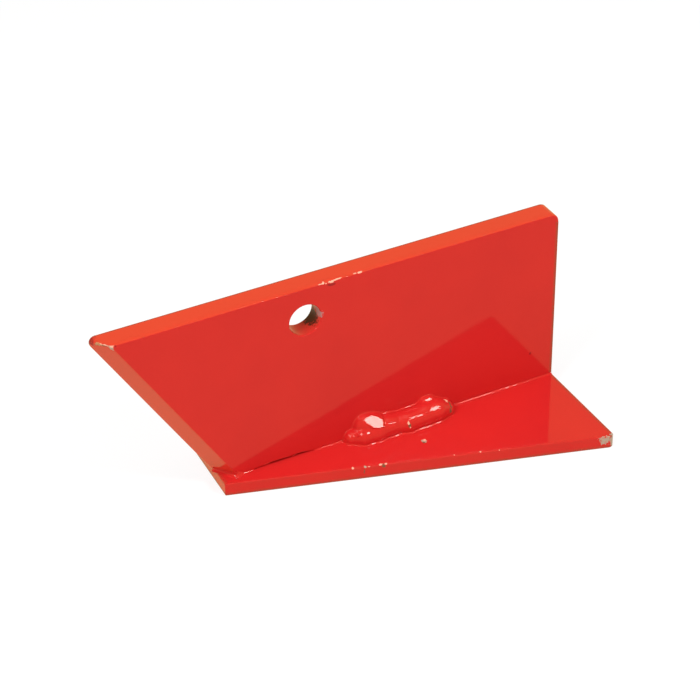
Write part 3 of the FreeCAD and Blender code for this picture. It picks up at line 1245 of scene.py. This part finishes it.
@dataclass
class Studio:
    """Pale floor, soft light and the camera."""

    joint: JointFrame
    floor_side: float = 6.0
    floor_colour: str = "EEEEEC"
    mirrored_colour: str = "FFF8A8"
    sky_for_light: float = 0.30
    seen_white: float = 1.0
    shadow_share: float = 0.28
    eye: tuple[float, float, float] = (-475.59, -726.28, 621.32)
    yaw: float = 27.562
    pitch: float = 35.156
    roll: float = -0.5
    focal_length: float = 128.95
    lamps: tuple[Softbox, ...] = (
        Softbox("key_lamp", (0.3895, -0.5972, 0.7013), (12.0, 8.0), 42.0),
        Softbox("side_lamp", (-0.65, -0.27, 0.71), (12.0, 20.0), 18.0),
        Softbox("top_lamp", (-0.10, -0.10, 0.98), (36.0, 36.0), 2.0),
    )

    def seen_colour(self, tree: bpy.types.NodeTree) -> bpy.types.NodeSocket:
        """White for the eye, and the warm white of the room for what mirrors it.

        Args:
            tree: Node tree of the floor or the world.

        Returns:
            The colour.
        """
        mirrored = add_node(tree, "LightPath").outputs["Is Glossy Ray"]
        return add_node(tree, "Mix", {"data_type": "RGBA"}, {
            "Factor": mirrored, 6: (1, 1, 1, 1), 7: linear(self.mirrored_colour)}).outputs[2]

    def light_rays(self, tree: bpy.types.NodeTree) -> bpy.types.NodeSocket:
        """One for rays that look at the background, straight or in a reflection, and zero for light.

        Args:
            tree: Node tree of the floor or the world.

        Returns:
            The share, zero or one.
        """
        path = add_node(tree, "LightPath")
        seen = add_node(tree, "Math", {"operation": "MAXIMUM"}, {
            0: path.outputs["Is Camera Ray"], 1: path.outputs["Is Glossy Ray"]}).outputs[0]
        return add_node(tree, "Math", {"operation": "MAXIMUM"}, {
            0: seen, 1: path.outputs["Is Transmission Ray"]}).outputs[0]

    def build_floor(self) -> None:
        """Lay the floor under the sole; it looks white and keeps a light shadow."""
        mesh = bmesh.new()
        half, level = self.floor_side / 2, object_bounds()[0].z
        steps = 8
        spots = [half * (2 * i / steps - 1) for i in range(steps + 1)]
        grid = [[mesh.verts.new((x, y, level)) for y in spots] for x in spots]
        for i in range(steps):
            for j in range(steps):
                mesh.faces.new((grid[i][j], grid[i + 1][j], grid[i + 1][j + 1], grid[i][j + 1]))
        data = bpy.data.meshes.new("floor")
        mesh.to_mesh(data)
        mesh.free()
        floor = bpy.data.objects.new("floor", data)
        bpy.context.scene.collection.objects.link(floor)
        paper = bpy.data.materials.new("matt_backdrop_paper")
        paper.use_nodes = True
        tree = paper.node_tree
        tree.nodes.clear()
        lit = add_node(tree, "BsdfDiffuse", {}, {"Color": linear(self.floor_colour)}).outputs[0]
        glow = add_node(tree, "Emission", {}, {
            "Color": self.seen_colour(tree), "Strength": self.seen_white + 0.12}).outputs[0]
        share = add_node(tree, "Math", {"operation": "MULTIPLY"}, {
            0: self.light_rays(tree), 1: 1 - self.shadow_share}).outputs[0]
        mixed = add_node(tree, "MixShader", {}, {0: share, 1: lit, 2: glow}).outputs[0]
        add_node(tree, "OutputMaterial", {}, {"Surface": mixed})
        data.materials.append(paper)
        floor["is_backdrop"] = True

    def build_world(self) -> None:
        """Surround the share with an even sky, white to the eye and dimmer as a light."""
        world = bpy.data.worlds.new("studio_sky")
        world.use_nodes = True
        tree = world.node_tree
        tree.nodes.clear()
        strength = add_node(tree, "MapRange", {}, {
            "Value": self.light_rays(tree), "To Min": self.sky_for_light, "To Max": self.seen_white,
        }).outputs[0]
        sky = add_node(tree, "Background", {}, {
            "Color": self.seen_colour(tree), "Strength": strength,
        }).outputs[0]
        add_node(tree, "OutputWorld", {}, {"Surface": sky})
        bpy.context.scene.world = world

    def build_camera(self) -> None:
        """Stand the camera in front of the nose side, looking down on the wing face."""
        yaw, pitch, roll = (math.radians(a) for a in (self.yaw, self.pitch, self.roll))
        forward = Vector((math.sin(yaw) * math.cos(pitch), math.cos(yaw) * math.cos(pitch), -math.sin(pitch)))
        level = Vector((math.cos(yaw), -math.sin(yaw), 0.0))
        upright = level.cross(forward)
        right = level * math.cos(roll) + upright * math.sin(roll)
        up = upright * math.cos(roll) - level * math.sin(roll)
        lens = bpy.data.cameras.new("camera")
        lens.sensor_width = SENSOR_WIDTH
        lens.lens = self.focal_length
        lens.clip_start, lens.clip_end = 0.05, 20.0
        camera = bpy.data.objects.new("camera", lens)
        turned = Matrix((right, up, -forward)).transposed().to_4x4()
        camera.matrix_world = Matrix.Translation(self.joint.to_part(*self.eye)) @ turned
        bpy.context.scene.collection.objects.link(camera)
        bpy.context.scene.camera = camera

    def build(self) -> None:
        """Set up the floor, the light and the camera."""
        self.build_floor()
        self.build_world()
        self.build_camera()
        for lamp in self.lamps:
            lamp.build(self.joint.to_part(-75.0, -5.0, 7.0))
        bpy.context.scene.view_settings.view_transform = "Standard"


# --------------------------------------------------------------------------- the share


# The darker red spots are painted shade in the knocked dents, with darker spots at the nose tip and low at the
# rear.
UPRIGHT_CHIPS = (
    Chip(ChipTone.PALE_PRIMER, (-109.2, 0.1, 79.9), (1.0, 0.35, 0.3)),
    Chip(ChipTone.PALE_PRIMER, (-107.9, 0.4, 80.0), (0.45, 0.9, 0.5), turn_z=-20),
    Chip(ChipTone.PALE_PRIMER, (-106.8, 0.0, 79.5), (0.35, 0.3, 0.3)),
    Chip(ChipTone.DARK_ENAMEL_AND_DENT_SHADE, (-104.4, 0.0, 78.3), (1.8, 0.5, 0.6)),
    Chip(ChipTone.PALE_PRIMER, (-104.4, 0.1, 79.6), (1.2, 0.5, 0.6), turn_y=8),
    Chip(ChipTone.PALE_PRIMER, (-102.0, 0.3, 79.9), (2.2, 0.35, 0.4), turn_z=3),
    Chip(ChipTone.PALE_PRIMER, (-93.9, 0.4, 80.0), (0.7, 0.35, 0.3)),
    Chip(ChipTone.PALE_PRIMER, (-91.7, 0.4, 79.9), (0.9, 0.55, 0.4)),
    Chip(ChipTone.TAN_SCALE, (-202.0, 4.4, 79.2), (2.7, 1.0, 1.2), turn_z=-49.4),
    Chip(ChipTone.BROWN_RUST, (-199.9, 2.0, 79.0), (1.2, 0.7, 1.0), turn_z=-49.4),
    Chip(ChipTone.PALE_PRIMER, (-199.8, 2.0, 79.9), (2.4, 0.5, 0.22), turn_z=-49.4),
    Chip(ChipTone.GREY_STEEL, (-198.0, 0.5, 78.6), (1.4, 0.8, 1.4)),
    Chip(ChipTone.PALE_PRIMER, (-197.9, 0.3, 79.5), (1.2, 0.6, 0.5)),
    Chip(ChipTone.DARK_ENAMEL_AND_DENT_SHADE, (-196.1, 0.0, 79.4), (0.4, 0.3, 0.4)),
    Chip(ChipTone.DARK_ENAMEL_AND_DENT_SHADE, (-204.2, 9.0, 79.2), (2.6, 4.0, 2.0)),
    Chip(ChipTone.DARK_ENAMEL_AND_DENT_SHADE, (-11.3, 0.0, 14.0), (0.6, 0.4, 0.6)),
    # Painted shade on the far wall of the bolt hole, and a grey steel patch beside it that is partly painted
    # highlight.
    Chip(ChipTone.BORE_SHADE, (-110.2, 7.6, 61.2), (3.4, 5.6, 4.2)),
    Chip(ChipTone.BORE_GREY_AND_HIGHLIGHT, (-109.0, 2.6, 65.8), (1.4, 2.6, 2.2)),
)

FOOT_CHIPS = (
    Chip(ChipTone.GREY_STEEL, (-4.9, -49.5, -1.6), (3.4, 1.6, 2.2)),
    Chip(ChipTone.GREY_STEEL, (-1.0, -48.6, -2.6), (1.3, 1.6, 3.2)),
    Chip(ChipTone.GREY_STEEL, (-70.9, -15.9, 0.0), (1.0, 1.2, 0.6), turn_z=25),
    Chip(ChipTone.PALE_PRIMER, (-70.5, -15.3, 0.0), (0.6, 0.6, 0.6)),
    Chip(ChipTone.BROWN_RUST, (-71.5, -16.7, 0.0), (0.5, 0.6, 0.5)),
    Chip(ChipTone.PALE_PRIMER, (-105.0, -17.8, -0.1), (0.45, 0.8, 0.5)),
    Chip(ChipTone.BROWN_RUST, (-100.6, -20.0, -1.8), (0.35, 0.9, 1.4)),
    Chip(ChipTone.GREY_STEEL, (-100.2, -19.5, -0.2), (0.7, 0.7, 0.6)),
    Chip(ChipTone.PALE_PRIMER, (-98.9, -20.0, -0.1), (0.6, 0.35, 0.3)),
    Chip(ChipTone.BROWN_RUST, (-93.0, -21.7, -0.7), (0.7, 0.8, 0.8)),
    Chip(ChipTone.PALE_PRIMER, (-93.9, -21.0, -0.1), (0.75, 0.5, 0.4)),
    Chip(ChipTone.PALE_PRIMER, (-91.9, -21.6, -0.1), (0.55, 0.5, 0.4)),
    Chip(ChipTone.PALE_PRIMER, (-64.7, -29.7, 0.0), (0.25, 0.25, 0.3)),
    Chip(ChipTone.PALE_PRIMER, (-54.3, -33.0, 0.0), (0.35, 0.35, 0.3)),
    Chip(ChipTone.PALE_PRIMER, (-46.9, -35.6, 0.0), (0.28, 0.28, 0.3)),
)

WELD_CHIPS = (
    Chip(ChipTone.BROWN_RUST, (-73.5, -8.3, 3.8), (0.6, 1.0, 0.9)),
    Chip(ChipTone.PALE_PRIMER, (-73.8, -7.8, 4.9), (0.45, 0.8, 0.8)),
    Chip(ChipTone.PALE_PRIMER, (-73.3, -8.4, 3.0), (0.3, 0.6, 0.35)),
    Chip(ChipTone.PALE_PRIMER, (-53.2, -2.6, 6.4), (0.8, 1.3, 1.3)),
    Chip(ChipTone.BROWN_RUST, (-52.2, -3.8, 5.1), (0.45, 1.0, 0.9)),
    Chip(ChipTone.BROWN_RUST, (-52.2, -5.0, 4.0), (0.45, 1.0, 1.0)),
    Chip(ChipTone.BROWN_RUST, (-53.0, -6.1, 2.8), (0.6, 1.0, 1.0)),
)

WING_LOBES = (
    Lobe((-96.2, 0.1, 1.4, 3.8), (-92.2, -0.9, 2.6, 4.9)),
    Lobe((-92.2, -0.9, 2.6, 4.9), (-86.0, -0.7, 2.8, 5.3)),
    Lobe((-90.2, 4.0, 3.7, 5.3), (-86.2, 2.4, 3.7, 5.3)),
    Lobe((-86.0, -0.7, 2.8, 5.3), (-82.6, 0.2, 2.4, 5.3)),
    Lobe((-82.6, 0.2, 2.4, 5.3), (-80.8, 0.1, 3.0, 5.3)),
    Lobe((-80.8, 0.1, 3.0, 5.3), (-78.4, -0.1, 2.6, 5.3)),
    Lobe((-78.4, -0.1, 2.6, 5.3), (-75.6, -0.4, 2.0, 5.2)),
    Lobe((-75.6, -0.4, 2.0, 5.2), (-72.6, -0.7, 3.9, 5.2)),
    Lobe((-72.6, -0.7, 3.9, 5.2), (-63.5, -0.3, 3.9, 5.3)),
    Lobe((-63.5, 0.1, 3.9, 5.3), (-58.4, 0.1, 3.9, 5.3)),
    Lobe((-58.4, 0.0, 3.7, 5.2), (-54.0, -0.5, 2.2, 4.6)),
    Lobe((-62.4, 4.4, 4.8, 2.8), (-60.2, 4.6, 4.8, 2.8)),
)

WING_FACETS = (
    Facet(8.8, ((-92.4, 4.8), (-91.0, 2.8), (-89.2, 0.6), (-86.7, -0.3), (-84.3, -0.3), (-83.6, 2.8),
                (-86.4, 5.0), (-88.1, 6.0))),
    Facet(7.1, ((-95.2, -0.5), (-94.2, -0.6), (-93.3, 0.0), (-94.3, 0.4)), 0.6),
    Facet(8.35, ((-81.7, 0.1), (-81.0, -0.4), (-79.8, -0.2), (-77.7, -0.05), (-79.8, 0.2), (-81.0, 0.6)),
          0.3),
    Facet(9.2, ((-73.8, -1.6), (-71.6, -0.9), (-64.0, -0.3), (-63.6, 0.3), (-71.8, -0.2), (-73.8, -1.1)), 0.3),
    Facet(9.2, ((-64.0, 0.0), (-61.5, -0.5), (-59.4, -0.3), (-57.8, 0.4), (-60.0, 1.1), (-62.0, 1.0)), 0.3),
    Facet(7.55, ((-63.0, 4.6), (-61.2, 4.0), (-59.1, 4.6), (-60.4, 5.4), (-61.8, 5.2)), 0.3),
)

BACK_LOBES = (
    Lobe((-96.0, 0.0, 2.2, 5.0), (-84.0, 0.2, 2.6, 5.3)),
    Lobe((-84.0, 0.2, 2.6, 5.3), (-68.0, -0.2, 2.7, 5.4)),
    Lobe((-68.0, -0.2, 2.7, 5.4), (-51.0, 0.0, 2.3, 5.1)),
)


def build_share(joint: JointFrame) -> None:
    """Build and dress every piece of the share.

    Args:
        joint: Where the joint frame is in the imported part.
    """
    UprightPlate(joint).build(GlossEnamel("gloss_enamel_upright", chips=UPRIGHT_CHIPS))
    FootPlate(joint).build(GlossEnamel("gloss_enamel_foot", chips=FOOT_CHIPS))
    PaintedJoint(
        joint, Side.WING, WING_LOBES,
        stretches=((-147.0, -140.6), (-113.4, -0.25)),
        film=((-147.0, 0.5), (-143.0, 0.3), (-140.6, 0.06), (-113.4, 0.06), (-111.0, 0.26), (-100.0, 0.34),
              (-50.0, 0.12), (-46.5, 0.12), (-45.5, 0.3), (-30.0, 0.36), (-16.0, 0.4), (-14.2, 0.2),
              (-12.5, 0.38), (-0.25, 0.3)),
        foot_puddle=((-102.0, 0.0), (-100.5, 0.14), (-94.5, 0.2), (-93.4, 0.02), (-92.0, 0.02), (-91.2, 0.15),
                     (-87.6, 0.15), (-86.8, 0.02), (-84.6, 0.02), (-83.8, 0.16), (-58.0, 0.18), (-56.0, 0.0)),
        wall_puddle=((-82.0, 0.0), (-80.4, 0.1), (-78.4, 0.1), (-77.8, 0.0), (-72.2, 0.0), (-71.4, 0.12),
                     (-67.4, 0.12), (-66.4, 0.0)),
        facets=WING_FACETS, nose_paint=NosePaint(),
    ).build(GlossEnamel("gloss_enamel_wing_weld", chips=WELD_CHIPS))
    PaintedJoint(
        joint, Side.BACK, BACK_LOBES,
        stretches=((-152.8, -0.25),),
        film=((-152.8, 0.3), (-120.0, 0.45), (-40.0, 0.5), (-0.25, 0.4)),
    ).build(GlossEnamel("gloss_enamel_back_weld"))


def main() -> None:
    """Build the share and its studio."""
    logging.basicConfig(level=logging.INFO, format="%(name)s %(message)s")
    joint = JointFrame.from_nodes()
    build_share(joint)
    Studio(joint).build()


if __name__ == "__main__":
    main()
